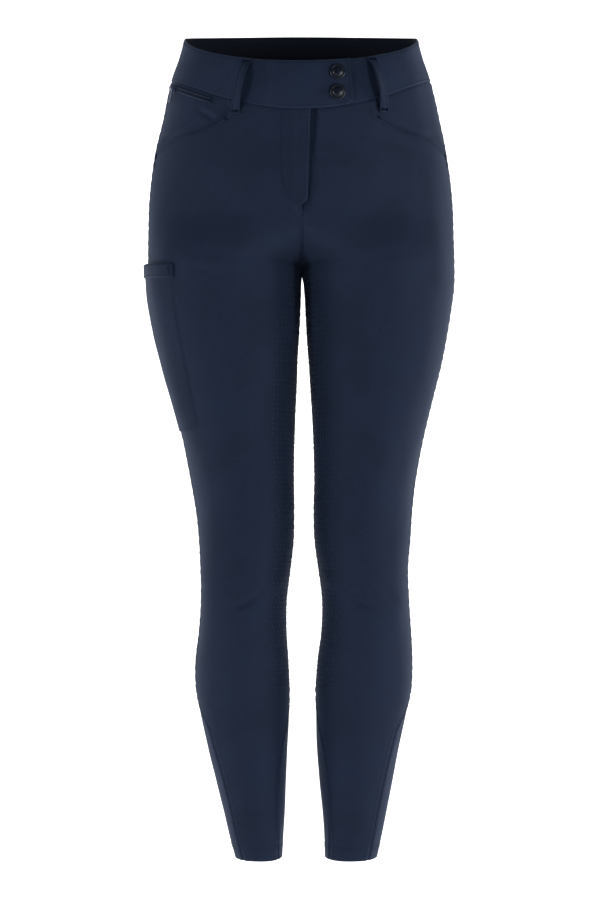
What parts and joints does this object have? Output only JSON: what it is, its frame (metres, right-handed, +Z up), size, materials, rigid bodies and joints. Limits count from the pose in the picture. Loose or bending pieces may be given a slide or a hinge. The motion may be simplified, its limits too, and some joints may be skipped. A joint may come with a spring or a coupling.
{
  "type": "riding breeches",
  "caption": "Full-length riding breeches in stretch cloth, filled out as worn: contoured waistband with a snap tab, belt loops, slanted pockets, thigh pocket and calf inserts.",
  "frame": {"origin": "middle of the waist, level with the middle of the waistband at the sides", "axes": "+Z up, -Y to the front, +X to the wearer's left"},
  "size_m": [0.3636, 0.258, 0.977],
  "materials": {
    "cloth": "matt woven stretch",
    "stretch_cloth": "fine ribbed stretch",
    "snap": "gloss",
    "zip_tape": "woven tape",
    "zip_metal": "satin enamel"
  },
  "bodies": {
    "garment": {"front_right": "cloth", "front_left": "cloth", "back_right": "cloth", "back_left": "cloth", "hip_facing_right": "cloth", "hip_facing_left": "cloth", "waistband_right": "cloth", "waistband_left": "cloth", "waistband_back": "cloth", "fly_underlap": "cloth", "belt_loop_front_right": "cloth", "belt_loop_front_left": "cloth", "belt_loop_back_right": "cloth", "belt_loop_back_left": "cloth", "belt_loop_back_centre": "cloth", "thigh_pocket": "cloth", "thigh_pocket_hem": "cloth", "calf_insert_right": "stretch_cloth", "calf_insert_left": "stretch_cloth", "snap_upper": "snap", "snap_lower": "snap", "zip_tape": "zip_tape", "zip_slider": "zip_metal"},
    "pull_tab": {"zip_pull": "zip_metal"}
  },
  "joints": [
    {"name": "pull_tab_swing", "type": "hinge", "parent": "garment", "child": "pull_tab", "pos_m": [-0.15039, -0.04713, -0.03772], "axis": [-0.4407, 0.8924, 0.0973], "range_deg": [0, 120]}
  ]
}
